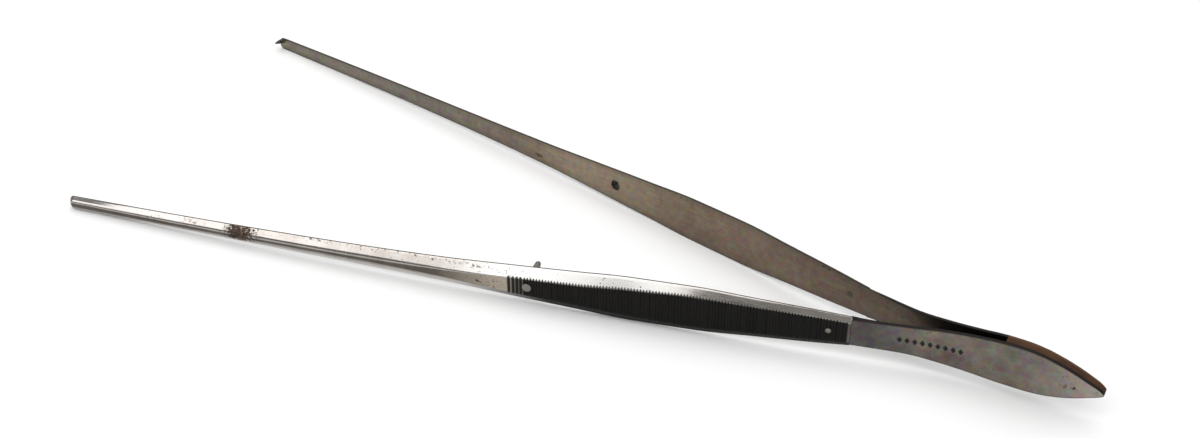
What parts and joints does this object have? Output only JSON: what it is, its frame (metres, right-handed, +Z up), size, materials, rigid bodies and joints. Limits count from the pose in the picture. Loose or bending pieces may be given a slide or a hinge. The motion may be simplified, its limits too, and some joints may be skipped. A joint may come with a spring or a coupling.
{
  "type": "toothed thumb forceps",
  "caption": "Long spring-steel thumb forceps: two ribbed arms joined at a spoon-shaped butt, guide pin and hole, interlocking teeth at the tips.",
  "frame": {"origin": "middle of the footprint, on the surface that the forceps lies on", "axes": "+X towards the butt, +Y towards the arm with the guide hole, +Z up, across the width of the arms"},
  "size_m": [0.2456, 0.0914, 0.0124],
  "materials": {
    "blade_steel": "old polished steel with a brown-grey patina",
    "leaf_steel": "old polished steel with faint temper tints",
    "pin_steel": "bare steel, worn bright",
    "brown_wedge": "dark brown, oxidised"
  },
  "bodies": {
    "butt": {"butt_wedge": "brown_wedge", "leaf_root_near": "leaf_steel", "leaf_root_far": "leaf_steel"},
    "near_arm": {"arm_near": "blade_steel", "guide_pin": "pin_steel", "rear_rivet_near": "pin_steel"},
    "far_arm": {"arm_far": "blade_steel", "rear_rivet_far": "pin_steel"}
  },
  "joints": [
    {"name": "near_arm_flex", "type": "hinge", "parent": "butt", "child": "near_arm", "pos_m": [0.08489, -0.00219, 0.00622], "axis": [0, 0, -1], "range_deg": [0, 11.5], "stiffness_Nm_per_rad": 2},
    {"name": "far_arm_flex", "type": "hinge", "parent": "butt", "child": "far_arm", "pos_m": [0.08489, 0.00219, 0.00622], "axis": [0, 0, 1], "range_deg": [0, 11.5], "stiffness_Nm_per_rad": 2}
  ],
  "couplings": [
    {"joint": "far_arm_flex", "follows": "near_arm_flex", "ratio": 1}
  ]
}
